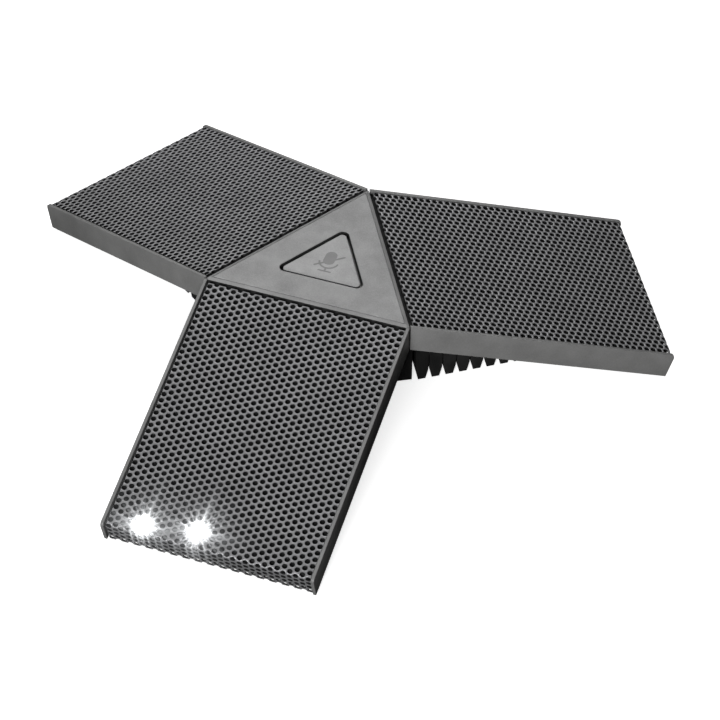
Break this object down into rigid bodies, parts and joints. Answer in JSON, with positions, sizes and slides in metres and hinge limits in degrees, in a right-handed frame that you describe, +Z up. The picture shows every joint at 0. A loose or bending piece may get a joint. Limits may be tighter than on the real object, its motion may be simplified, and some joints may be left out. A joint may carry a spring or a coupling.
{
  "type": "conference table microphone pod",
  "caption": "Three-winged table microphone pod for a conference phone: sloping perforated wings round a triangular plate with a sprung mute key, on a ribbed rubber base.",
  "frame": {"origin": "on the table under the centre of the triangular plate, at the centre of the hub pad's underside", "axes": "+Z up, the front wing points along -Y, the left and right wings point 30 degrees behind -X and +X, and the cable socket faces +Y"},
  "size_m": [0.1928, 0.167, 0.031],
  "materials": {
    "shell": "fine-textured mid grey",
    "plate": "fine-textured warm grey",
    "key": "fine-textured light grey",
    "grille": "satin grey paint on perforated sheet",
    "cloth": "black acoustic cloth",
    "rubber": "matte black",
    "pan": "matte black",
    "board": "solder-masked circuit board",
    "black_plastic": "moulded black",
    "steel": "plated",
    "ribbon": "flat flexible cable",
    "led": "white light-emitting package",
    "lens": "clear moulded light pipe",
    "label": "blank silver film"
  },
  "bodies": {
    "pod": {"arm_shell_front": "shell", "arm_shell_left": "shell", "arm_shell_right": "shell", "hub_frame": "pan", "centre_plate": "plate", "grille_front": "grille", "grille_left": "grille", "grille_right": "grille", "grille_cloth_front": "cloth", "grille_cloth_left": "cloth", "grille_cloth_right": "cloth", "tact_switch": "black_plastic", "key_board": "board", "board_link": "black_plastic", "main_board": "board", "ballast_plate": "steel", "cable_jack": "black_plastic", "base_pan": "pan", "hub_pad": "rubber", "rating_label": "label", "rib_foot_front": "rubber", "rib_foot_left": "rubber", "rib_foot_right": "rubber", "mic_board_front": "board", "mic_board_left": "board", "mic_board_right": "board", "mic_boot_front": "rubber", "mic_boot_left": "rubber", "mic_boot_right": "rubber", "mic_capsule_front": "steel", "mic_capsule_left": "steel", "mic_capsule_right": "steel", "ribbon_cable_front": "ribbon", "ribbon_cable_left": "ribbon", "ribbon_cable_right": "ribbon", "led_board": "board", "led_lead": "ribbon", "status_led_1": "led", "status_led_2": "led", "status_lens_1": "lens", "status_lens_2": "lens", "arm_screw_front_1": "steel", "arm_screw_front_2": "steel", "arm_screw_left_1": "steel", "arm_screw_left_2": "steel", "arm_screw_right_1": "steel", "arm_screw_right_2": "steel", "pan_screw_1": "steel", "pan_screw_2": "steel", "pan_screw_3": "steel", "board_screw_1": "steel", "board_screw_2": "steel", "board_screw_3": "steel"},
    "mute_key": {"mute_key": "key"},
    "switch_plunger": {"switch_plunger": "black_plastic"}
  },
  "joints": [
    {"name": "mute_key_press", "type": "slide", "parent": "pod", "child": "mute_key", "axis": [0, 0, -1], "range_m": [0, 0.0006], "stiffness_N_per_m": 1500, "springref_m": -0.0003},
    {"name": "switch_plunger_travel", "type": "slide", "parent": "pod", "child": "switch_plunger", "axis": [0, 0, -1], "range_m": [0, 0.0008]}
  ],
  "couplings": [
    {"joint": "switch_plunger_travel", "follows": "mute_key_press", "ratio": 1}
  ]
}
